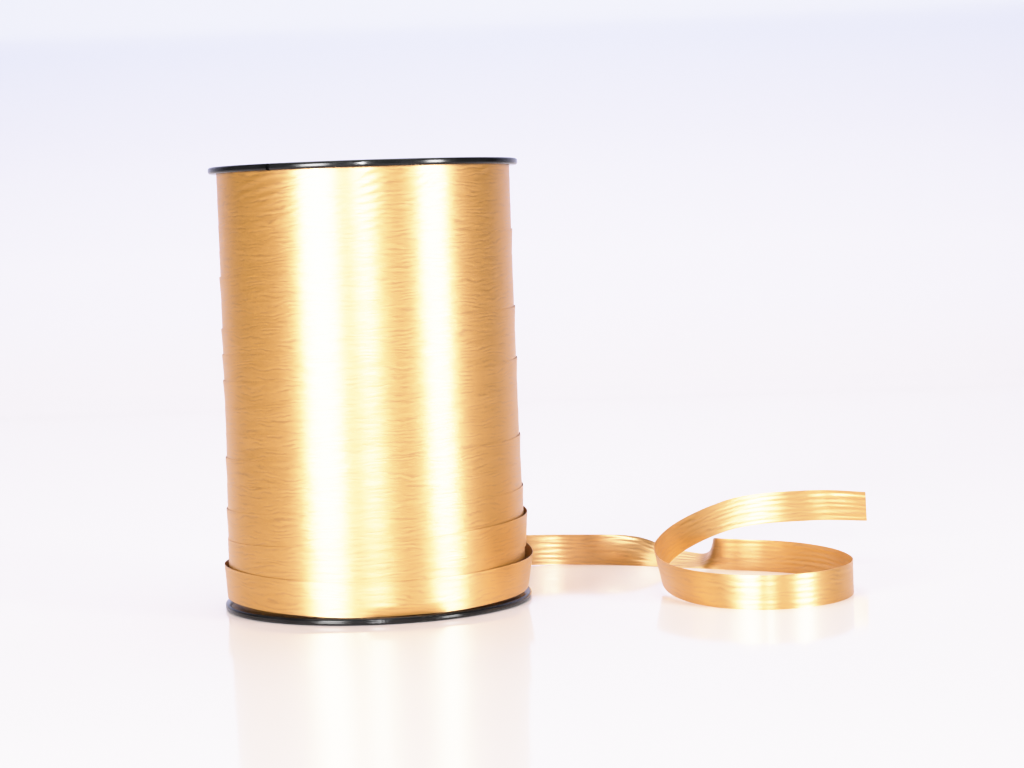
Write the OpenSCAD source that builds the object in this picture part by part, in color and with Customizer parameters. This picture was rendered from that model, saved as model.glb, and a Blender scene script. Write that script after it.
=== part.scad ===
// A spool of curling ribbon. A paperboard tube stands between two moulded flanges and is
// wound with ribbon. The last two wraps have slackened at the foot of the winding, and the
// free end leaves the back of the spool, stands on edge on the table and curls over itself.
// The spool's foot is on Z = 0, its axis is Z, and the tail lies towards +X.

/* [Ribbon] */
// Width of the ribbon
ribbon_w = 10; // [9.6:0.1:10.4]
// Thickness of the loose ribbon
ribbon_t = 0.25; // [0.15:0.05:0.3]

/* [Winding] */
// Diameter of the winding at its top
winding_top_d = 88; // [86:0.5:88.5]
// Diameter of the winding under the loose wraps
winding_foot_d = 89.6; // [88.5:0.1:89.6]
// Diameter of the turns that have sunk in against the bottom flange
winding_sunk_d = 86; // [80:0.5:88]

/* [Spool] */
// Height over both flanges
spool_h = 133; // [110:1:160]
// Outer diameter of the paperboard tube
tube_d = 60; // [56:1:70]
// Wall of the paperboard tube
tube_wall = 2; // [1.5:0.5:3]

/* [Flanges] */
// Diameter of each flange
flange_d = 93; // [92:0.5:93.5]
// Height of the rim bead
rim_h = 2; // [1.6:0.1:2.4]
// Width of the rim bead, from its inner step to the edge
rim_w = 2.2; // [1.6:0.1:3]
// Depth of the face inside the rim bead
recess = 0.6; // [0.4:0.1:0.8]
// Diameter of the spindle bore
bore_d = 25.6; // [20:0.1:30]
// Wall of the hub around the bore
hub_wall = 2.5; // [2:0.5:4]
// Depth that the plug reaches into the tube
plug_h = 12; // [8:1:16]
// Wall of the plug
plug_wall = 1.4; // [1:0.1:2]
// Stiffening ribs between the hub and the plug
rib_count = 6; // [4:1:8]
// Width of the notch that holds the ribbon's end
notch_w = 1.2; // [0.8:0.1:1.6]
// Length of the notch, inward from the edge
notch_l = 6; // [4:0.5:8]

/* [Paper] */
// Outer diameter of the ring label on the top flange
label_d = 82; // [60:1:84]
// Inner diameter of the ring label
label_hole_d = 36; // [34:1:46]
// Thickness of the label
label_t = 0.2; // [0.1:0.05:0.3]
// Height of the tape that fixes the ribbon's first turn to the tube
tape_h = 12; // [8:1:19]
// Angle that the tape covers
tape_angle = 50; // [30:5:80]

/* [Hidden] */
$fn = 96;

gold = [0.90, 0.66, 0.36];
black = [0.06, 0.06, 0.07];
kraft = [0.66, 0.52, 0.38];

flange_r = flange_d / 2;
bore_r = bore_d / 2;
hub_r = bore_r + hub_wall;
rim_round = 0.7;
hub_recess = 0.2;          // the hub's end sits this far below the rim
rib_t = 1.2;
rib_h = 8;
weld = 0.2;                // how far joined features run into each other
fit = 0.05;                // clearance of round parts that nest
tube_r = tube_d / 2;
tube_bore_r = tube_r - tube_wall;
plug_r = tube_bore_r - fit;
web_top = rim_h;           // the inner face of a flange, where the winding bears
winding_z = [web_top, spool_h - web_top];
top_notch_angle = -122;
bottom_notch_angle = 58;

tape_t = 0.15;
tape_pocket_t = tape_t + 3 * fit;
tape_z = 50;
tape_turn = 20;
tape_margin = 1;           // the pocket is this much larger than the tape all round

// The loose wraps climb counter-clockwise from where the tail leaves them, at the back.
// Each row is [angle, height of the lower edge, radius at the lower edge, outward lean of
// the ribbon in degrees].
wrap_rows = [
    [110, 2.5, 46.25, 0], [150, 3.2, 45.8, 1.5], [187, 3.7, 45.7, 3.5],
    [215, 3.4, 45.32, 0.3], [240, 2.8, 45.3, 0.2], [262, 2.2, 45.3, -1.5],
    [285, 2.2, 45.3, -1.5], [305, 2.3, 45.3, -1], [323, 2.7, 45.4, 1],
    [340, 3, 45.6, 5], [352, 3.3, 45.6, 8], [362, 3.9, 45.6, 9.5],
    [377, 5.2, 45.55, 7], [400, 6.8, 45.5, 4], [450, 8.8, 45.3, 1], [540, 11.3, 45, 0],
    [600, 12.4, 45, 0], [640, 13.6, 45, 0], [664, 14.6, 45.05, 0], [682, 15.2, 45.1, 0.5],
    [700, 15.6, 45.15, 1.5], [712, 15.8, 45.2, 3], [722, 16.1, 45.25, 4],
    [740, 17, 45.2, 2.5], [780, 18.7, 45.05, 0.5], [830, 19.9, 45, 0]];
wrap_step = 5;             // degrees from one ring of the wraps to the next
exit_angle = wrap_rows[0][0];
exit_z = wrap_rows[0][1];
exit_r = wrap_rows[0][2];
sunk_h = 1.6;              // height of the sunk turns over the flange

// The tail's route: [x, y, height of the lower edge, lean of the ribbon towards the inside
// of its curl in degrees]. It starts where the wraps end.
tail_rows = [
    [exit_r * cos(exit_angle), exit_r * sin(exit_angle), exit_z, 0],
    [-5, 47.5, 2.4, 0], [6, 51.8, 2, 0], [17, 56.1, 1.5, 0], [27, 60, 1, 0],
    [36, 63.2, 0.6, 0], [45, 65.8, 0.3, 0], [54, 66.6, 0.1, 0], [62, 65.4, 0, 0],
    [70, 62.9, 0, -4], [79, 59, 0, -26], [86, 55.4, 0, -56], [94, 51, 0, -68],
    [100, 47.7, 0, -64], [105, 45, 0, -8], [112, 41.2, 0, 0], [121, 36.3, 0, 0], [129, 30, 0, 0],
    [135.5, 21, 0, 0], [140, 11, 0, 0], [142.5, 0, 0, 0], [143, -11, 0, 0],
    [140.5, -22, 0, 0], [134.5, -32, 0, 0], [125.5, -38.5, 0, 0], [115, -40.5, 0, 0],
    [104.5, -36.5, 0, 0], [96, -28.5, 0.2, -4], [90.5, -18, 0.6, -8],
    [87.5, -7, 1.2, -11], [86.5, 4, 2.1, -12], [87, 14, 3.4, -12],
    [89.5, 24.5, 5, -9], [93.5, 33.5, 6.9, -5], [99, 41, 8.8, -2],
    [105.5, 47.2, 10.6, 0], [113, 52.2, 12.1, 0], [122, 56.6, 12.7, 0],
    [132, 59.4, 12.8, 0], [143, 60.3, 12.8, 4], [156, 57.6, 12.5, 14]];
tail_steps = 2;            // rings between two rows

// A point of the smooth curve through b and c, for t from 0 at b to 1 at c.
function curve(a, b, c, d, t) =
    0.5 * (2 * b + (c - a) * t + (2 * a - 5 * b + 4 * c - d) * t * t
           + (3 * b - a - 3 * c + d) * t * t * t);

// The rows with steps - 1 points put in between each two.
function smooth_rows(rows, steps) =
    let (n = len(rows), ext = concat([2 * rows[0] - rows[1]], rows,
                                     [2 * rows[n - 1] - rows[n - 2]]))
    concat([for (i = [0 : n - 2], k = [0 : steps - 1])
                curve(ext[i], ext[i + 1], ext[i + 2], ext[i + 3], k / steps)],
           [rows[n - 1]]);

// How fast column k changes at row i, for each degree of the angle in column 0.
function slope(rows, i, k) =
    let (a = rows[max(i - 1, 0)], b = rows[min(i + 1, len(rows) - 1)])
    (b[k] - a[k]) / (b[0] - a[0]);

// Column k at an angle, on a smooth curve through the rows.
function at_angle(rows, angle, k) =
    let (i = max([for (j = [0 : len(rows) - 2]) if (rows[j][0] <= angle) j]),
         h = rows[i + 1][0] - rows[i][0], t = (angle - rows[i][0]) / h)
    rows[i][k] * (2 * t * t * t - 3 * t * t + 1) + rows[i + 1][k] * (3 * t * t - 2 * t * t * t)
    + slope(rows, i, k) * h * (t * t * t - 2 * t * t + t)
    + slope(rows, i + 1, k) * h * (t * t * t - t * t);

// The faces of a strip whose rings have four corners each. Both broad faces are split
// along the same diagonal, so that they stay apart where the ribbon twists.
function strip_faces(rings) = concat(
    [[0, 1, 2], [0, 2, 3]],
    [for (i = [0 : rings - 2], j = [0 : 2])
        [4 * i + j, 4 * i + 4 + j, 4 * i + 5 + j]],
    [for (i = [0 : rings - 2], j = [0 : 2])
        [4 * i + j, 4 * i + 5 + j, 4 * i + 1 + j]],
    [for (i = [0 : rings - 2]) [4 * i + 3, 4 * i + 7, 4 * i]],
    [for (i = [0 : rings - 2]) [4 * i + 7, 4 * i + 4, 4 * i]],
    [let (e = 4 * (rings - 1)) [e, e + 3, e + 2],
     let (e = 4 * (rings - 1)) [e, e + 2, e + 1]]);

// One ring of the strip: p is the lower edge's middle, side the unit vector across the
// ribbon's thickness, up the unit vector across its width.
function ring(p, side, up) =
    let (s = side * ribbon_t / 2, u = up * ribbon_w)
    [p - s, p + s, p + s + u, p - s + u];

function flatten(rows) = [for (row = rows) for (p = row) p];

function unit(v) = v / norm(v);

// The tail's direction of travel in plan at ring i of the smoothed route.
function heading(route, i) =
    i == 0 ? [sin(exit_angle), -cos(exit_angle)]
    : let (a = route[i - 1], b = route[min(i + 1, len(route) - 1)])
      unit([b[0] - a[0], b[1] - a[1]]);

// Section through the rim bead, with its outer edges rounded.
module rim_section() {
    translate([flange_r - rim_w, 0]) square([rim_w - rim_round, rim_h]);
    translate([flange_r - 2 * rim_round, rim_round])
        square([2 * rim_round, rim_h - 2 * rim_round]);
    for (z = [rim_round, rim_h - rim_round])
        translate([flange_r - rim_round, z]) circle(rim_round);
}

// One flange with its outer face down and its plug up.
module flange(notch_angle) {
    web_r = flange_r - rim_w;
    plug_top = web_top + plug_h;
    difference() {
        union() {
            rotate_extrude() rim_section();
            rotate_extrude() translate([hub_r - weld, recess])
                square([web_r - hub_r + 2 * weld, web_top - recess]);
            rotate_extrude() translate([bore_r, hub_recess])
                square([hub_wall, plug_top - hub_recess]);
            rotate_extrude() translate([plug_r - plug_wall, web_top - weld])
                square([plug_wall, plug_h + weld]);
            for (i = [0 : rib_count - 1])
                rotate([0, 0, i * 360 / rib_count])
                    translate([hub_r - weld, -rib_t / 2, web_top - weld])
                        cube([plug_r - plug_wall - hub_r + 2 * weld, rib_t, rib_h + weld]);
        }
        rotate([0, 0, notch_angle]) translate([flange_r - notch_l, -notch_w / 2, -1])
            cube([notch_l + 1, notch_w, rim_h + 2]);
    }
}

module bottom_flange() {
    color(black) flange(bottom_notch_angle);
}

module top_flange() {
    color(black) translate([0, 0, spool_h]) rotate([180, 0, 0]) flange(-top_notch_angle);
}

module core_tube() {
    color(kraft) translate([0, 0, web_top]) difference() {
        cylinder(r = tube_r, h = spool_h - 2 * web_top);
        translate([0, 0, -1]) cylinder(r = tube_bore_r, h = spool_h);
    }
}

// The wound ribbon, with a shallow pocket at the tube for the tape.
module ribbon_winding() {
    inner_r = tube_r + fit;
    color(gold) difference() {
        rotate_extrude() polygon([
            [inner_r, winding_z[0]],
            [winding_sunk_d / 2, winding_z[0]],
            [winding_foot_d / 2, winding_z[0] + sunk_h],
            [winding_foot_d / 2 - 0.1, spool_h * 0.25],
            [winding_top_d / 2 + 0.2, spool_h * 0.55],
            [winding_top_d / 2, spool_h * 0.8],
            [winding_top_d / 2, winding_z[1]],
            [inner_r, winding_z[1]]]);
        tape_sector(tape_margin, tube_r - 1, tube_r + tape_pocket_t);
    }
}

// The space of the tape, made larger all round by margin.
module tape_sector(margin, r_in, r_out) {
    translate([0, 0, tape_z - margin]) rotate([0, 0, tape_turn - margin])
        rotate_extrude(angle = tape_angle + 2 * margin)
            translate([r_in, 0]) square([r_out - r_in, tape_h + 2 * margin]);
}

module start_tape() {
    color("white") tape_sector(0, tube_r + fit, tube_r + fit + tape_t);
}

module loose_wraps() {
    last = wrap_rows[len(wrap_rows) - 1][0];
    rings = [for (a = [exit_angle : wrap_step : last])
        let (out = [cos(a), sin(a), 0], lean = at_angle(wrap_rows, a, 3),
             low = at_angle(wrap_rows, a, 2) * out + [0, 0, at_angle(wrap_rows, a, 1)])
        ring(low, cos(lean) * out - [0, 0, sin(lean)], sin(lean) * out + [0, 0, cos(lean)])];
    color(gold) polyhedron(points = flatten(rings), faces = strip_faces(len(rings)));
}

module ribbon_tail() {
    route = smooth_rows(tail_rows, tail_steps);
    rings = [for (i = [0 : len(route) - 1])
        let (h = heading(route, i), inward = [h[1], -h[0], 0], lean = route[i][3],
             p = [route[i][0], route[i][1], max(route[i][2], 0)],
             up = sin(lean) * inward + [0, 0, cos(lean)],
             side = cos(lean) * inward - [0, 0, sin(lean)],
             drop = ribbon_t / 2 * abs(sin(lean)))
        ring(p + [0, 0, drop], side, up)];
    color(gold) polyhedron(points = flatten(rings), faces = strip_faces(len(rings)));
}

module top_label() {
    color("white") translate([0, 0, spool_h - recess]) difference() {
        cylinder(r = label_d / 2, h = label_t);
        translate([0, 0, -1]) cylinder(r = label_hole_d / 2, h = label_t + 2);
    }
}

core_tube();
bottom_flange();
top_flange();
ribbon_winding();
loose_wraps();
ribbon_tail();
start_tape();
top_label();
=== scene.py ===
import math

import bpy
import numpy as np
from mathutils import Matrix, Vector


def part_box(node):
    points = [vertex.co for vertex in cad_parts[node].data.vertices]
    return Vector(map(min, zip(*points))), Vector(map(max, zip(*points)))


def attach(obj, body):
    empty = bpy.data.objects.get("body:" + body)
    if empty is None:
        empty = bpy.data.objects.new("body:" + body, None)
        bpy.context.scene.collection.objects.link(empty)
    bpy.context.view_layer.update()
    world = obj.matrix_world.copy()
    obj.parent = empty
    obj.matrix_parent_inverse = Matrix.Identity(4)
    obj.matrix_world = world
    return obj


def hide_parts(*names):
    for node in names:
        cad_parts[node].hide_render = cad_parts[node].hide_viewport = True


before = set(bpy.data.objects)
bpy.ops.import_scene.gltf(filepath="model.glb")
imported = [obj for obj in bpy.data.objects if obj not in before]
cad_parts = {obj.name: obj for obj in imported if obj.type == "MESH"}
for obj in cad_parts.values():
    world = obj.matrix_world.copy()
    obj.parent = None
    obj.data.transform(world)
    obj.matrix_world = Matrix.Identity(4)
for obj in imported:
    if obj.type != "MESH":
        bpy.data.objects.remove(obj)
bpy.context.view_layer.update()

# ---------------------------------------------------------------- measures, in metres
WIND_LOW, WIND_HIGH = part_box("ribbon_winding")[0][2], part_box("ribbon_winding")[1][2]
TUBE_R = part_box("core_tube")[1][0]
MM = 0.001
RIBBON_W = 10 * MM
FILM_T = 0.12 * MM          # thickness of the ribbon's film

# The slack wraps, as in the CAD: angle, height of the lower edge, radius at the lower
# edge, and the ribbon's outward lean in degrees.
WRAP_ROWS = [
    (110, 0.0025, 0.04625, 0), (150, 0.0032, 0.0458, 1.5), (187, 0.0037, 0.0457, 3.5),
    (215, 0.0034, 0.04532, 0.3), (240, 0.0028, 0.0453, 0.2), (262, 0.0022, 0.0453, -1.5),
    (285, 0.0022, 0.0453, -1.5), (305, 0.0023, 0.0453, -1), (323, 0.0027, 0.0454, 1),
    (340, 0.003, 0.0456, 5), (352, 0.0033, 0.0456, 8), (362, 0.0039, 0.0456, 9.5),
    (377, 0.0052, 0.04555, 7), (400, 0.0068, 0.0455, 4), (450, 0.0088, 0.0453, 1),
    (540, 0.0113, 0.045, 0), (600, 0.0124, 0.045, 0), (640, 0.0136, 0.045, 0),
    (664, 0.0146, 0.04505, 0), (682, 0.0152, 0.0451, 0.5), (700, 0.0156, 0.04515, 1.5),
    (712, 0.0158, 0.0452, 3), (722, 0.0161, 0.04525, 4), (740, 0.017, 0.0452, 2.5),
    (780, 0.0187, 0.04505, 0.5), (830, 0.0199, 0.045, 0)]
EXIT_ANGLE, EXIT_LOW, EXIT_R = WRAP_ROWS[0][:3]
WRAP_END, WRAP_END_LOW = WRAP_ROWS[-1][:2]

# The tail's route, as in the CAD: x, y, height of the lower edge, lean in degrees.
TAIL_ROWS = [
    (EXIT_R * math.cos(math.radians(EXIT_ANGLE)),
     EXIT_R * math.sin(math.radians(EXIT_ANGLE)), EXIT_LOW, 0),
    (-0.005, 0.0475, 0.0024, 0), (0.006, 0.0518, 0.002, 0), (0.017, 0.0561, 0.0015, 0),
    (0.027, 0.060, 0.001, 0), (0.036, 0.0632, 0.0006, 0), (0.045, 0.0658, 0.0003, 0),
    (0.054, 0.0666, 0.0001, 0), (0.062, 0.0654, 0, 0), (0.070, 0.0629, 0, -4),
    (0.079, 0.059, 0, -26), (0.086, 0.0554, 0, -56), (0.094, 0.051, 0, -68),
    (0.100, 0.0477, 0, -64), (0.105, 0.045, 0, -8), (0.112, 0.0412, 0, 0),
    (0.121, 0.0363, 0, 0), (0.129, 0.030, 0, 0), (0.1355, 0.021, 0, 0), (0.140, 0.011, 0, 0),
    (0.1425, 0, 0, 0), (0.143, -0.011, 0, 0), (0.1405, -0.022, 0, 0),
    (0.1345, -0.032, 0, 0), (0.1255, -0.0385, 0, 0), (0.115, -0.0405, 0, 0),
    (0.1045, -0.0365, 0, 0), (0.096, -0.0285, 0.0002, -4), (0.0905, -0.018, 0.0006, -8),
    (0.0875, -0.007, 0.0012, -11), (0.0865, 0.004, 0.0021, -12),
    (0.087, 0.014, 0.0034, -12), (0.0895, 0.0245, 0.005, -9),
    (0.0935, 0.0335, 0.0069, -5), (0.099, 0.041, 0.0088, -2),
    (0.1055, 0.0472, 0.0106, 0), (0.113, 0.0522, 0.0121, 0),
    (0.122, 0.0566, 0.0127, 0), (0.132, 0.0594, 0.0128, 0),
    (0.143, 0.0603, 0.0128, 4), (0.156, 0.0576, 0.0125, 14)]

# How far along the tail its ribs grow and fade: distances, and shares of full height.
RIBS_SHOW = ((0, 0.03, 0.19, 0.22, 0.29, 0.33), (0, 0.9, 0.9, 0.3, 0.3, 0.65))


# ---------------------------------------------------------------- camera
CAMERA_PLACE = Vector((0.0542, -0.7605, 0.1158))
CAMERA_TURN = (3.83, -0.87, 1.95)       # degrees down, to the right, and of tilt
CAMERA_LENS, SENSOR_WIDTH = 88.5, 36    # both in millimetres


def make_camera():
    """Looks at the spool from the front, a little from above, with the frame tilted."""
    pitch, yaw, roll = (math.radians(a) for a in CAMERA_TURN)
    ahead = Vector((math.sin(yaw) * math.cos(pitch), math.cos(yaw) * math.cos(pitch),
                    -math.sin(pitch)))
    level = Vector((math.cos(yaw), -math.sin(yaw), 0))
    above = level.cross(ahead)
    right = math.cos(roll) * level - math.sin(roll) * above
    up = math.sin(roll) * level + math.cos(roll) * above
    data = bpy.data.cameras.new("camera")
    data.lens = CAMERA_LENS
    data.sensor_width = SENSOR_WIDTH
    data.clip_start = 0.01
    camera = bpy.data.objects.new("camera", data)
    turn = Matrix((right, up, -ahead)).transposed()
    camera.matrix_world = Matrix.Translation(CAMERA_PLACE) @ turn.to_4x4()
    bpy.context.collection.objects.link(camera)
    bpy.context.scene.camera = camera


# ---------------------------------------------------------------- strips of ribbon
UV_NAME = "ribbon_uv"


def smooth_rows(rows, steps):
    """The rows with steps - 1 points put in between each two, on a smooth curve."""
    rows = np.array(rows, float)
    ext = np.vstack([2 * rows[0] - rows[1], rows, 2 * rows[-1] - rows[-2]])
    out = []
    for i in range(len(rows) - 1):
        a, b, c, d = ext[i:i + 4]
        for t in np.arange(steps) / steps:
            out.append(0.5 * (2 * b + (c - a) * t + (2 * a - 5 * b + 4 * c - d) * t ** 2
                              + (3 * b - a - 3 * c + d) * t ** 3))
    out.append(rows[-1])
    return np.array(out)


def at_angle(angles, column):
    """A column of WRAP_ROWS at the given angles, on a smooth curve through the rows."""
    rows = np.array(WRAP_ROWS)
    x, y = rows[:, 0], rows[:, column]
    slope = np.gradient(y, x)
    slope[1:-1] = (y[2:] - y[:-2]) / (x[2:] - x[:-2])
    i = np.clip(np.searchsorted(x, angles, side="right") - 1, 0, len(x) - 2)
    h = x[i + 1] - x[i]
    t = (angles - x[i]) / h
    return (y[i] * (2 * t ** 3 - 3 * t ** 2 + 1) + y[i + 1] * (3 * t ** 2 - 2 * t ** 3)
            + slope[i] * h * (t ** 3 - 2 * t ** 2 + t) + slope[i + 1] * h * (t ** 3 - t ** 2))


def strip(name, front, back, u, v, closed=False):
    """A closed strip of film. front and back are its two faces as grids of points, ring by
    ring along the ribbon and column by column across it. u and v are the distances along
    and across it, which the ribbon's material reads."""
    rings, cols = front.shape[:2]
    points = np.concatenate([front, back[:, ::-1]], axis=1)
    around = 2 * cols
    faces, corners = [], []
    across = np.concatenate([v, v[::-1]])

    def add(quad, uvs):
        faces.append(quad)
        corners.extend(uvs)

    for i in range(rings - (0 if closed else 1)):
        n = (i + 1) % rings
        u0, u1 = u[i], u[i + 1]
        for j in range(around):
            k = (j + 1) % around
            add((i * around + j, n * around + j, n * around + k, i * around + k),
                ((u0, across[j]), (u1, across[j]), (u1, across[k]), (u0, across[k])))
    if not closed:
        for i, order in ((0, 1), (rings - 1, -1)):
            for j in range(cols - 1):
                quad = (i * around + j, i * around + j + 1,
                        i * around + around - 2 - j, i * around + around - 1 - j)
                add(quad[::order], [(u[i], v[j])] * 4)
    mesh = bpy.data.meshes.new(name)
    mesh.from_pydata(points.reshape(-1, 3).tolist(), [], faces)
    layer = mesh.uv_layers.new(name=UV_NAME)
    layer.data.foreach_set("uv", np.array(corners, "f").ravel())
    mesh.shade_smooth()
    mark_borders(mesh, around, cols, rings, closed)
    mesh.update()
    piece = bpy.data.objects.new(name, mesh)
    bpy.context.collection.objects.link(piece)
    return piece


def mark_borders(mesh, around, cols, rings, closed):
    """Marks the film's long borders and its cut ends as sharp edges."""
    border = {0, cols - 1, cols, around - 1}
    ends = set() if closed else {0, rings - 1}
    pairs = np.empty(2 * len(mesh.edges), int)
    mesh.edges.foreach_get("vertices", pairs)
    pairs = pairs.reshape(-1, 2)
    ring, col = pairs // around, pairs % around
    along = (col[:, 0] == col[:, 1]) & np.isin(col[:, 0], list(border))
    cut = (ring[:, 0] == ring[:, 1]) & np.isin(ring[:, 0], list(ends))
    sharp = mesh.attributes.new("sharp_edge", "BOOLEAN", "EDGE")
    sharp.data.foreach_set("value", along | cut)


RIPPLE_WAVES = 7
RIPPLE_SCALE = 4            # brings the waves' sum to about -1 to 1


def ripple(u, v, seed):
    """Lengthwise ribs that wander along the film: a height of about -1 to 1."""
    rng = np.random.default_rng(seed)
    total = np.zeros(np.broadcast(u, v).shape)
    for _ in range(RIPPLE_WAVES):
        pitch = rng.uniform(1.3, 2.6) * MM
        drift = rng.uniform(-0.03, 0.03)
        wave = rng.uniform(0.015, 0.05)
        phase = rng.uniform(0, 2 * math.pi, 2)
        swell = 0.5 + 0.5 * np.sin(2 * math.pi * u / wave + phase[0])
        total += swell * np.sin(2 * math.pi * (v + drift * u) / pitch + phase[1])
    return total / RIPPLE_SCALE


def polar(angles, radius, height):
    """Points from angles in degrees, radii and heights, each a grid or able to become one."""
    a = np.radians(angles)
    return np.stack(np.broadcast_arrays(radius * np.cos(a), radius * np.sin(a), height), -1)


# ---------------------------------------------------------------- the ribbon's three pieces
TAIL_COLS, TAIL_STEPS = 41, 8   # points across the film, and steps from row to row
TAIL_RIB = 0.11 * MM        # height of the tail's ribs
TAIL_SEED, WRAP_SEED = 3, 5


def make_tail():
    """The free end: it stands on edge on the table and curls over itself."""
    rows = smooth_rows(TAIL_ROWS, TAIL_STEPS)
    rows[:, 2] = np.maximum(rows[:, 2], 0)
    heading = np.gradient(rows[:, :2], axis=0)
    exit_a = math.radians(EXIT_ANGLE)
    heading[0] = math.sin(exit_a), -math.cos(exit_a)
    heading /= np.linalg.norm(heading, axis=1)[:, None]
    inward = np.stack([heading[:, 1], -heading[:, 0], np.zeros(len(rows))], 1)
    lean = np.radians(rows[:, 3])[:, None]
    level = np.array([0, 0, 1.0])
    up = np.sin(lean) * inward + np.cos(lean) * level
    side = np.cos(lean) * inward - np.sin(lean) * level
    v = np.linspace(0, RIBBON_W, TAIL_COLS)
    low = rows[:, :3] + (FILM_T / 2 * np.abs(np.sin(lean))) * level
    middle = low[:, None] + up[:, None] * v[None, :, None]
    u = np.concatenate([[0], np.cumsum(np.linalg.norm(np.diff(low, axis=0), axis=1))])
    grown = np.interp(u, *RIBS_SHOW)[:, None]
    rib = TAIL_RIB * grown * ripple(u[:, None], v[None, :], TAIL_SEED)
    middle = middle + side[:, None] * rib[..., None]
    half = side[:, None] * FILM_T / 2
    front, back = middle - half, middle + half
    for face in (front, back):
        face[..., 2] = np.maximum(face[..., 2], 0)
    tail = strip("tail_ribbon", front, back, u, v)
    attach(tail, "root")
    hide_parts("ribbon_tail")
    return tail


# The winding's outline: heights, and the radius at each.
WIND_OUTLINE = ((0.002, 0.025, 0.032, 0.05, 0.075, 0.105, 0.131),
                (0.04485, 0.04485, 0.0447, 0.0443, 0.04415, 0.0440, 0.0440))
WIND_R = 0.044              # the radius that distances along the winding are taken at


def wind_radius(height):
    """The winding's radius: full at the foot, and a little less towards the top."""
    return np.interp(height, *WIND_OUTLINE)


WRAP_COLS, WRAP_TURN = 25, 2.0      # points across the film, and degrees from ring to ring
WRAP_RIB = 0.02 * MM        # height of the wraps' ribs
TUCK_SPAN = ((266, 273, 292, 299), (0, 1, 1, 0))    # degrees, and shares of the tuck
TUCK_DEPTH = 0.7 * MM
TUCK_H = 2.8 * MM           # height of the tucked part


def make_wraps():
    """The slack wraps. Their top edges lean out at the right, and at the front the lowest
    wrap's foot is tucked in."""
    angles = np.arange(EXIT_ANGLE, WRAP_END + 1, WRAP_TURN)
    low, radius = at_angle(angles, 1)[:, None], at_angle(angles, 2)[:, None]
    lean = np.radians(at_angle(angles, 3))[:, None]
    v = np.linspace(0, RIBBON_W, WRAP_COLS)[None]
    u = np.concatenate([[0], np.cumsum(np.radians(np.diff(angles)) * radius[1:, 0])])
    tucked = np.interp(angles, *TUCK_SPAN)[:, None]
    tuck = TUCK_DEPTH * tucked * np.clip(1 - v / TUCK_H, 0, 1) ** 1.3
    off = WRAP_RIB * ripple(u[:, None], v, WRAP_SEED) - tuck
    middle = radius + v * np.sin(lean) + off * np.cos(lean)
    height = low + v * np.cos(lean) - off * np.sin(lean)
    a = angles[:, None]
    half_r, half_z = FILM_T / 2 * np.cos(lean), FILM_T / 2 * np.sin(lean)
    wraps = strip("slack_wraps", polar(a, middle + half_r, height - half_z),
                  polar(a, middle - half_r, height + half_z), u, v[0])
    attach(wraps, "root")
    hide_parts("loose_wraps")
    return wraps


PITCH = 7.75 * MM           # rise of the wound ribbon in one turn
LAP_STEP = 0.07 * MM        # how far a lap's top edge stands over the next lap
SLACK_STEP = 0.32 * MM      # how much more it stands out where the lap is slack
SLACK_LAPS = [907, 1081, 1627, 1801, 2707, 2881, 3067, 3427, 3601, 4147, 4681]  # degrees
SLACK_SPAN = 28             # degrees to either side
SUNK_H = 1.6 * MM           # height of the turns sunk in against the bottom flange
SUNK_R = 0.0415
WIND_COLS, WIND_TURN = 13, 3.0      # points across the film, and degrees from ring to ring
FIRST_RISE = 9 * MM         # from the last wrap's foot up to the winding's top edge there


def make_winding():
    """The winding's outer layer: one ribbon that climbs to the top flange, each turn lapped
    over the foot of the next, on a solid body of the turns beneath."""
    start = WRAP_END - 720
    start_top = WRAP_END_LOW + FIRST_RISE - 2 * PITCH
    turns = (WIND_HIGH - start_top) / PITCH + 1
    angles = np.arange(start, start + 360 * turns, WIND_TURN)
    top = np.minimum(start_top + (angles - start) / 360 * PITCH, WIND_HIGH - 0.05 * MM)
    v = np.linspace(0, RIBBON_W, WIND_COLS)
    height = top[:, None] - RIBBON_W + v[None]
    away = np.abs(angles[:, None] - np.array(SLACK_LAPS)[None]).min(axis=1)
    slack = np.clip(1 - away / SLACK_SPAN, 0, 1) ** 1.5
    under = np.interp(angles, [WRAP_END - 20, WRAP_END + 20], [0.3, 1])
    rise = np.clip((v / RIBBON_W - 0.15) / 0.8, 0, 1) ** 1.5
    step = LAP_STEP * under + SLACK_STEP * slack
    radius = wind_radius(height) + step[:, None] * rise[None]
    u = np.concatenate([[0], np.cumsum(np.radians(np.diff(angles)) * WIND_R)])
    a = angles[:, None]
    outer = strip("winding_outer_layer", polar(a, radius, height),
                  polar(a, radius - FILM_T, height), u, v)
    body = make_winding_body()
    for piece in (outer, body):
        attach(piece, "root")
        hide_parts("ribbon_winding")
    return [outer, body]


def make_winding_body():
    """The turns beneath the outer layer, sunk in against the bottom flange."""
    angles = np.arange(0, 360, WIND_TURN)
    height = np.concatenate([WIND_LOW + SUNK_H * np.array([0, 0.5, 0.9]),
                             np.linspace(WIND_LOW + SUNK_H, WIND_HIGH, 58)])
    radius = wind_radius(height) - 1.5 * FILM_T
    radius[:3] = SUNK_R, SUNK_R, SUNK_R + 0.7 * MM
    a = angles[:, None]
    u = np.radians(np.arange(0, 360 + WIND_TURN, WIND_TURN)) * WIND_R
    inner = TUBE_R + 0.05 * MM
    return strip("winding_body", polar(a, radius[None], height[None]),
                 polar(a, inner, height[None]), u, height, closed=True)


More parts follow.
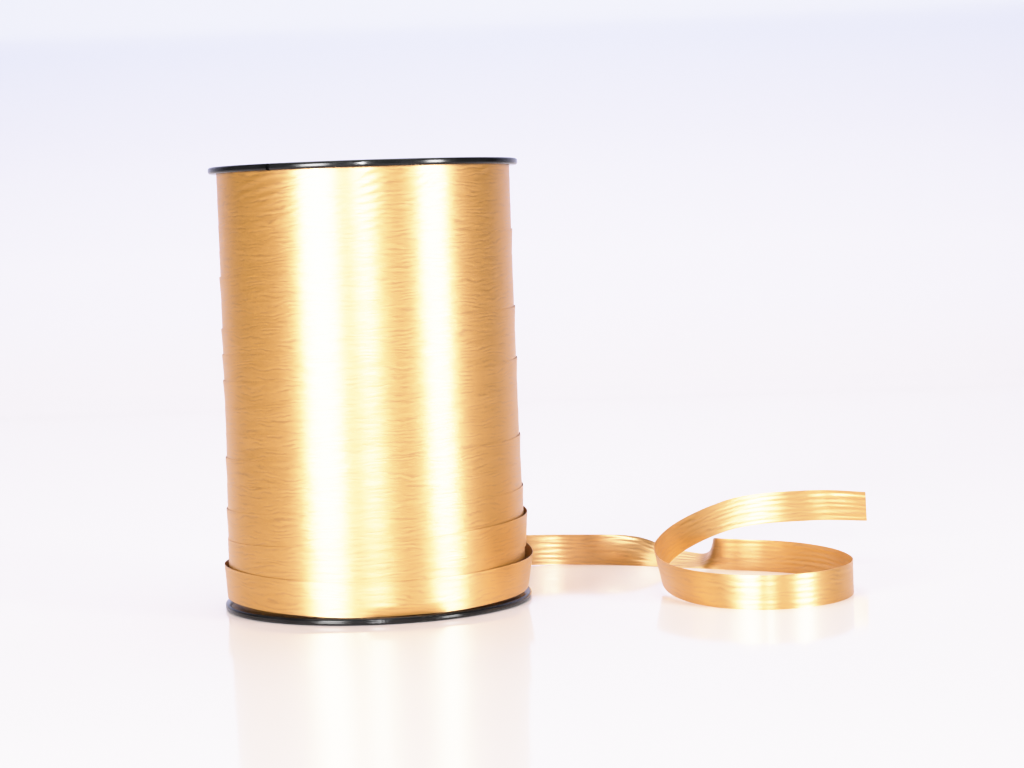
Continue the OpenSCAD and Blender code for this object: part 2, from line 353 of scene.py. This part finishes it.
# ---------------------------------------------------------------- materials
class Nodes:
    """A small helper that builds one material's node tree."""

    def __init__(self, name):
        self.material = bpy.data.materials.new(name)
        self.material.use_nodes = True
        self.tree = self.material.node_tree
        self.shader = self.tree.nodes["Principled BSDF"]

    def add(self, kind, **settings):
        node = self.tree.nodes.new("ShaderNode" + kind)
        for key, value in settings.items():
            if key in node.inputs:
                node.inputs[key].default_value = value
            else:
                setattr(node, key, value)
        return node

    def link(self, out, into):
        self.tree.links.new(out, into)

    def set(self, **values):
        for key, value in values.items():
            self.shader.inputs[key.replace("_", " ")].default_value = value

    def math(self, operation, *values):
        node = self.add("Math", operation=operation)
        for socket, value in zip(node.inputs, values):
            if isinstance(value, (int, float)):
                socket.default_value = value
            else:
                self.link(value, socket)
        return node.outputs[0]

    def noise(self, vector, scale=1.0, detail=2.0, rough=0.5, dims="3D"):
        node = self.add("TexNoise", noise_dimensions=dims)
        node.inputs["Scale"].default_value = scale
        node.inputs["Detail"].default_value = detail
        node.inputs["Roughness"].default_value = rough
        self.link(vector, node.inputs["Vector"])
        return node.outputs["Fac"]

    def stretch(self, vector, scale):
        node = self.add("Mapping")
        node.inputs["Scale"].default_value = scale
        self.link(vector, node.inputs["Vector"])
        return node.outputs["Vector"]

    def ramp(self, value, stops):
        node = self.add("ValToRGB")
        first, last = node.color_ramp.elements
        first.position, first.color = stops[0]
        last.position, last.color = stops[-1]
        for place, colour in stops[1:-1]:
            node.color_ramp.elements.new(place).color = colour
        self.link(value, node.inputs["Fac"])
        return node.outputs["Color"]

    def centred(self, noise, span):
        """The noise as a value around zero, span wide."""
        return self.math("MULTIPLY", self.math("SUBTRACT", noise, 0.5), span)

    def range(self, value, low, high, low_from=0.0, high_from=1.0):
        node = self.add("MapRange")
        node.inputs["From Min"].default_value = low_from
        node.inputs["From Max"].default_value = high_from
        node.inputs["To Min"].default_value = low
        node.inputs["To Max"].default_value = high
        self.link(value, node.inputs["Value"])
        return node.outputs["Result"]

    def bump(self, height, strength, distance):
        node = self.add("Bump", Strength=strength, Distance=distance)
        self.link(height, node.inputs["Height"])
        self.link(node.outputs["Normal"], self.shader.inputs["Normal"])


RIB_PITCH = 1.25 * MM       # spacing of the ribs pressed into the ribbon
# The base colour from a rib's groove to its crest: the grooves are darker as painted shade.
GOLD_AND_GROOVE_SHADE = [(0.0, (0.41, 0.172, 0.018, 1)), (0.4, (0.49, 0.208, 0.022, 1)),
        (1.0, (0.53, 0.226, 0.025, 1))]     # from a rib's groove to its crest


def gold_ribbon():
    """Pearl gold film with fine pressed ribs that wander along it and fade in and out."""
    n = Nodes("gold_ribbon")
    uv = n.add("UVMap", uv_map=UV_NAME).outputs["UV"]
    across = n.add("SeparateXYZ")
    n.link(uv, across.inputs[0])
    slow = n.centred(n.noise(n.stretch(uv, (35, 110, 1)), detail=1, dims="2D"), 5 * MM)
    quick = n.centred(n.noise(n.stretch(uv, (170, 330, 1)), detail=2, dims="2D"), 1.6 * MM)
    place = n.math("ADD", across.outputs["Y"], n.math("ADD", slow, quick))
    rib = n.math("SINE", n.math("MULTIPLY", place, 2 * math.pi / RIB_PITCH))
    seen = n.range(n.noise(n.stretch(uv, (150, 600, 1)), detail=1, dims="2D"), 0, 0.5,
                   low_from=0.36, high_from=0.66)
    grain = n.centred(n.noise(n.stretch(uv, (700, 3000, 1)), detail=2, dims="2D"), 0.8)
    # Random grain tone, with the ribs' grooves painted darker as painted shade; the same value
    # also sets roughness and relief.
    grain_and_groove_shade = n.math("ADD", n.math("MULTIPLY", rib, seen), n.math("ADD", grain, 0.5))
    n.link(n.ramp(grain_and_groove_shade, GOLD_AND_GROOVE_SHADE), n.shader.inputs["Base Color"])
    n.link(n.range(grain_and_groove_shade, 0.34, 0.42), n.shader.inputs["Roughness"])
    n.set(Metallic=0.60, IOR=2.18, Specular_IOR_Level=1.0, Anisotropic=0.35,
          Anisotropic_Rotation=0.25, Coat_Weight=0.16, Coat_Roughness=0.37)
    tangent = n.add("Tangent", direction_type="UV_MAP", uv_map=UV_NAME)
    n.link(tangent.outputs[0], n.shader.inputs["Tangent"])
    wave = n.noise(n.stretch(uv, (90, 260, 1)), detail=1, dims="2D")
    relief = n.math("ADD", wave, n.math("MULTIPLY", grain_and_groove_shade, 0.10))
    n.bump(n.math("ADD", relief, slanting_folds(n)), 0.45, 0.22 * MM)
    return n.material


FOLD_PITCH = 2.6 * MM       # spacing of the folds under the top flange
FOLD_SLANT = 0.25           # how much they rise for each step to the right
FOLD_HEIGHT = 0.35


def slanting_folds(n):
    """Short slanting folds in the last turns, just under the top flange."""
    at = n.add("TexCoord").outputs["Object"]
    place = n.add("SeparateXYZ")
    n.link(at, place.inputs[0])
    slant = n.math("SUBTRACT", place.outputs["Z"],
                   n.math("MULTIPLY", place.outputs["X"], FOLD_SLANT))
    sway = n.centred(n.noise(at, scale=45, detail=1), 9 * MM)
    fold = n.math("SINE", n.math("MULTIPLY", n.math("ADD", slant, sway),
                                 2 * math.pi / FOLD_PITCH))
    patch = n.range(n.noise(at, scale=75, detail=1), 0, 1, low_from=0.44, high_from=0.58)
    near_top = n.range(place.outputs["Z"], 0, FOLD_HEIGHT, low_from=0.110, high_from=0.126)
    return n.math("MULTIPLY", n.math("MULTIPLY", fold, patch), near_top)


def black_plastic():
    """Glossy black moulding, with faint flow marks and handling scuffs."""
    n = Nodes("black_plastic")
    at = n.add("TexCoord").outputs["Object"]
    scuff = n.noise(at, scale=90, detail=5, rough=0.65)
    n.link(n.ramp(scuff, [(0.35, (0.003, 0.003, 0.003, 1)), (0.75, (0.008, 0.008, 0.009, 1))]),
           n.shader.inputs["Base Color"])
    n.link(n.range(scuff, 0.10, 0.26), n.shader.inputs["Roughness"])
    n.set(Specular_IOR_Level=0.22)
    n.bump(n.noise(at, scale=260, detail=2), 0.06, 0.2 * MM)
    return n.material


BOARD_PITCH = 55 * MM       # rise of the paperboard's spiral in one turn
SEAM_SHARE = 0.012          # share of that rise that is the seam


def paperboard():
    """Kraft board wound in a spiral, with a seam every turn and short fibres."""
    n = Nodes("paperboard")
    at = n.add("TexCoord").outputs["Object"]
    fibre = n.noise(n.stretch(at, (1, 1, 3)), scale=700, detail=4, rough=0.7)
    place = n.add("SeparateXYZ")
    n.link(at, place.inputs[0])
    turn = n.math("DIVIDE", n.math("ARCTAN2", place.outputs["Y"], place.outputs["X"]),
                  2 * math.pi)
    rise = n.math("DIVIDE", place.outputs["Z"], BOARD_PITCH)
    seam = n.math("LESS_THAN", n.math("FRACT", n.math("ADD", rise, turn)), SEAM_SHARE)
    shade = n.math("SUBTRACT", fibre, n.math("MULTIPLY", seam, 0.25))
    n.link(n.ramp(shade, [(0.3, (0.30, 0.19, 0.10, 1)), (0.7, (0.50, 0.34, 0.20, 1))]),
           n.shader.inputs["Base Color"])
    n.set(Roughness=0.9)
    n.bump(shade, 0.4, 0.1 * MM)
    return n.material


PRINTED_RINGS = [(0.0385, 0.8 * MM), (0.0205, 0.5 * MM)]    # radius and width of each


def label_paper():
    """Coated paper with two printed gold rings, and no words."""
    n = Nodes("label_paper")
    at = n.add("TexCoord").outputs["Object"]
    fibre = n.noise(at, scale=900, detail=4, rough=0.7)
    paper = n.ramp(fibre, [(0.3, (0.74, 0.73, 0.70, 1)), (0.7, (0.82, 0.81, 0.78, 1))])
    flat = n.add("VectorMath", operation="MULTIPLY")
    n.link(at, flat.inputs[0])
    flat.inputs[1].default_value = (1, 1, 0)
    away = n.add("VectorMath", operation="LENGTH")
    n.link(flat.outputs["Vector"], away.inputs[0])
    printed = n.math("ADD", *(n.math("COMPARE", away.outputs["Value"], radius, width / 2)
                              for radius, width in PRINTED_RINGS))
    ink = n.add("MixRGB")
    n.link(printed, ink.inputs["Fac"])
    n.link(paper, ink.inputs["Color1"])
    ink.inputs["Color2"].default_value = (0.45, 0.27, 0.07, 1)
    n.link(ink.outputs["Color"], n.shader.inputs["Base Color"])
    n.set(Roughness=0.45)
    n.bump(fibre, 0.2, 0.05 * MM)
    return n.material


def clear_tape():
    """Slightly yellowed tape with a faint haze."""
    n = Nodes("clear_tape")
    at = n.add("TexCoord").outputs["Object"]
    haze = n.noise(at, scale=300, detail=3)
    n.link(n.ramp(haze, [(0.3, (0.62, 0.58, 0.46, 1)), (0.7, (0.72, 0.69, 0.58, 1))]),
           n.shader.inputs["Base Color"])
    n.set(Roughness=0.3)
    return n.material


def dress(piece, material):
    """Gives a piece this one material."""
    piece.data.materials.clear()
    piece.data.materials.append(material)


# ---------------------------------------------------------------- floor and light
# The sweep's colour at heights above the floor, with painted shade: darker and bluer up the
# backdrop. It is also painted a little darker towards the camera, as painted shade.
SWEEP_TINTS_AND_SHADE = [(0.0, (0.98, 0.87, 0.86, 1)), (0.05, (0.90, 0.84, 0.97, 1)),
               (0.17, (0.75, 0.73, 0.95, 1)), (0.26, (0.63, 0.65, 0.92, 1))]
NEAR_SHADE_SHARE, NEAR_Y, FAR_Y = 0.85, -0.3, 0.1


def make_stage():
    """A gloss white sweep: a floor that curves up behind into a backdrop."""
    half, front, back, curve, height = 2.2, -1.6, 1.5, 0.7, 1.8
    profile = [(front, 0.0), (0.0, 0.0), (back - curve, 0.0)]
    arc_steps = 12
    for k in range(1, arc_steps + 1):
        a = math.radians(90 * k / arc_steps)
        profile.append((back - curve + curve * math.sin(a), curve - curve * math.cos(a)))
    profile.append((back, height))
    points = [(x, y, z) for y, z in profile for x in (-half, half)]
    faces = [(2 * i, 2 * i + 1, 2 * i + 3, 2 * i + 2) for i in range(len(profile) - 1)]
    mesh = bpy.data.meshes.new("sweep")
    mesh.from_pydata(points, [], faces)
    mesh.shade_smooth()
    sweep = bpy.data.objects.new("sweep", mesh)
    bpy.context.collection.objects.link(sweep)
    n = Nodes("sweep_white")
    rise = n.add("SeparateXYZ")
    n.link(n.add("TexCoord").outputs["Object"], rise.inputs[0])
    # Painted shade: the sweep's colour gets darker and bluer up the backdrop, and a little
    # darker towards the camera.
    white = n.ramp(rise.outputs["Z"], SWEEP_TINTS_AND_SHADE)
    painted_sweep_shade = n.add("VectorMath", operation="SCALE")
    n.link(white, painted_sweep_shade.inputs[0])
    n.link(n.range(rise.outputs["Y"], NEAR_SHADE_SHARE, 1.0, low_from=NEAR_Y, high_from=FAR_Y),
           painted_sweep_shade.inputs["Scale"])
    n.link(painted_sweep_shade.outputs["Vector"], n.shader.inputs["Base Color"])
    n.set(Roughness=0.08, Specular_IOR_Level=0.3)
    dress(sweep, n.material)


# The softboxes: azimuth in degrees, distance from the spool's axis, width and height of the
# face, height of its middle, and radiance. Azimuth 0 is the camera's side, and positive is to
# its right.
SOFTBOXES = {
    "key_left": (-32, 1.1, (0.36, 0.305), 0.19, 58),
    "fill_front": (3, 1.3, (0.075, 0.305), 0.29, 190),
    "key_right": (57, 1.1, (0.23, 0.305), 0.19, 62.5)}
AIM = Vector((0, 0, 0.07))  # the point that the softboxes face
OVERHEAD_SIZE, OVERHEAD_PLACE, OVERHEAD_WATTS = (1.6, 1.6), (0, 0.3, 1.6), 35
WORLD_COLOUR, WORLD_STRENGTH = (0.93, 0.93, 1, 1), 0.02


def area_light(name, size, watts, place):
    """A rectangular light that points straight down."""
    data = bpy.data.lights.new(name, "AREA")
    data.shape = "RECTANGLE"
    data.size, data.size_y = size
    data.energy = watts
    light = bpy.data.objects.new(name, data)
    light.location = place
    bpy.context.collection.objects.link(light)
    return light


def softbox(name, azimuth, distance, size, height, radiance):
    """A light that faces the spool."""
    a = math.radians(azimuth)
    place = Vector((distance * math.sin(a), -distance * math.cos(a), height))
    light = area_light(name, size, radiance * math.pi * size[0] * size[1], place)
    light.rotation_euler = (AIM - place).to_track_quat("-Z", "Y").to_euler()


def make_light():
    """The softboxes that the winding mirrors, an overhead light, and a faint even one."""
    for name, setting in SOFTBOXES.items():
        softbox(name, *setting)
    area_light("overhead", OVERHEAD_SIZE, OVERHEAD_WATTS, OVERHEAD_PLACE)
    world = bpy.data.worlds.new("studio")
    world.use_nodes = True
    background = world.node_tree.nodes["Background"]
    background.inputs["Color"].default_value = WORLD_COLOUR
    background.inputs["Strength"].default_value = WORLD_STRENGTH
    bpy.context.scene.world = world
    set_tone()


# The film's response to light: brightness in the scene and in the picture, both as shares
# of the brightest value.
TONE_MAX = 4.0
TONE = [(0.15, 0.6), (0.2, 0.75), (0.25, 0.85), (0.3, 0.91), (0.35, 0.945), (0.45, 0.975),
        (0.7, 0.995)]


def set_tone():
    """Rolls the highlights off softly, as film does, instead of clipping them."""
    view = bpy.context.scene.view_settings
    view.view_transform = "Standard"
    view.use_curve_mapping = True
    mapping = view.curve_mapping
    mapping.white_level = (TONE_MAX, TONE_MAX, TONE_MAX)
    curve = mapping.curves[3]
    for place in TONE:
        curve.points.new(*place)
    mapping.update()


# ---------------------------------------------------------------- the scene
make_camera()
tail = make_tail()
gold = gold_ribbon()
for piece in [tail, make_wraps(), *make_winding()]:
    dress(piece, gold)
black = black_plastic()
for node in ("top_flange", "bottom_flange"):
    dress(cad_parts[node], black)
dress(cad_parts["core_tube"], paperboard())
dress(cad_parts["top_label"], label_paper())
dress(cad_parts["start_tape"], clear_tape())
make_stage()
make_light()
